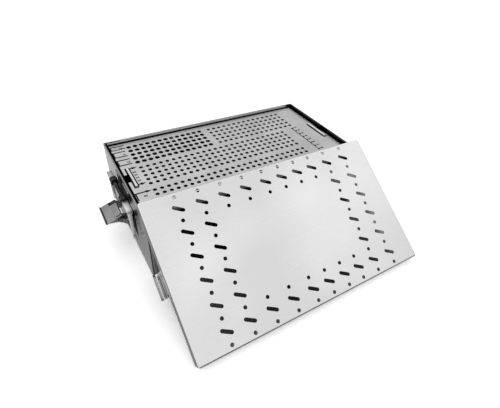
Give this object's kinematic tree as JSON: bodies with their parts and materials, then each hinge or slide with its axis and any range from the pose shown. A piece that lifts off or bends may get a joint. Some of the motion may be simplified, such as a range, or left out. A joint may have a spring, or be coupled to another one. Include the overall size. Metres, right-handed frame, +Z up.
{
  "type": "sterilization container",
  "caption": "Open steel sterilization container for bone screws, with a perforated rack, a draw latch on each short side and a slotted lid that leans on its front rim.",
  "frame": {"origin": "middle of the box's underside, on the table", "axes": "+X to the right along the long side, +Y to the back, away from the leaning lid, +Z up"},
  "size_m": [0.4334, 0.3496, 0.1235],
  "materials": {
    "steel_satin": "satin",
    "steel_rack": "satin",
    "steel_lid": "satin",
    "steel_bright": "satin"
  },
  "bodies": {
    "box": {"box_shell": "steel_satin", "rack_rail_left": "steel_satin", "rack_rail_right": "steel_satin", "lower_tray": "steel_satin", "latch_plate_left": "steel_satin", "latch_rivets_left": "steel_bright", "lever_pin_left": "steel_bright", "latch_plate_right": "steel_satin", "latch_rivets_right": "steel_bright", "lever_pin_right": "steel_bright"},
    "rack": {"rack_top_plate": "steel_rack", "rack_guide_plate": "steel_rack", "rack_guide_brackets": "steel_rack", "rack_base_plate": "steel_rack", "rack_posts": "steel_bright"},
    "rack_handle_left": {"rack_handle_left": "steel_bright"},
    "rack_handle_right": {"rack_handle_right": "steel_bright"},
    "lid": {"lid_pan": "steel_lid", "lid_keeper_left": "steel_bright", "lid_keeper_right": "steel_bright", "keeper_rivets_left": "steel_bright", "keeper_rivets_right": "steel_bright"},
    "latch_lever_left": {"latch_lever_left": "steel_bright"},
    "latch_bail_left": {"latch_bail_left": "steel_bright", "bail_pins_left": "steel_bright", "catch_bar_left": "steel_bright"},
    "latch_lever_right": {"latch_lever_right": "steel_bright"},
    "latch_bail_right": {"latch_bail_right": "steel_bright", "bail_pins_right": "steel_bright", "catch_bar_right": "steel_bright"}
  },
  "joints": [
    {"name": "lid_lift", "type": "slide", "parent": "box", "child": "lid", "axis": [0, -0.5513, 0.8343], "range_m": [0, 0.15]},
    {"name": "rack_lift", "type": "slide", "parent": "box", "child": "rack", "axis": [0, 0, 1], "range_m": [0, 0.006]},
    {"name": "rack_handle_left_draw", "type": "slide", "parent": "rack", "child": "rack_handle_left", "axis": [0, 0, 1], "range_m": [0, 0.016]},
    {"name": "rack_handle_right_draw", "type": "slide", "parent": "rack", "child": "rack_handle_right", "axis": [0, 0, 1], "range_m": [0, 0.016]},
    {"name": "latch_lever_left_turn", "type": "hinge", "parent": "box", "child": "latch_lever_left", "pos_m": [-0.1952, 0, 0.054], "axis": [0, 1, 0], "range_deg": [-10, 75]},
    {"name": "latch_bail_left_swing", "type": "hinge", "parent": "latch_lever_left", "child": "latch_bail_left", "pos_m": [-0.1862, 0, 0.045], "axis": [0, 1, 0], "range_deg": [-56, 8]},
    {"name": "latch_lever_right_turn", "type": "hinge", "parent": "box", "child": "latch_lever_right", "pos_m": [0.1952, 0, 0.054], "axis": [0, -1, 0], "range_deg": [-10, 75]},
    {"name": "latch_bail_right_swing", "type": "hinge", "parent": "latch_lever_right", "child": "latch_bail_right", "pos_m": [0.1862, 0, 0.045], "axis": [0, -1, 0], "range_deg": [-56, 8]}
  ],
  "couplings": [
    {"joint": "latch_bail_left_swing", "follows": "latch_lever_left_turn", "ratio": -0.735},
    {"joint": "latch_bail_right_swing", "follows": "latch_lever_right_turn", "ratio": -0.735}
  ]
}
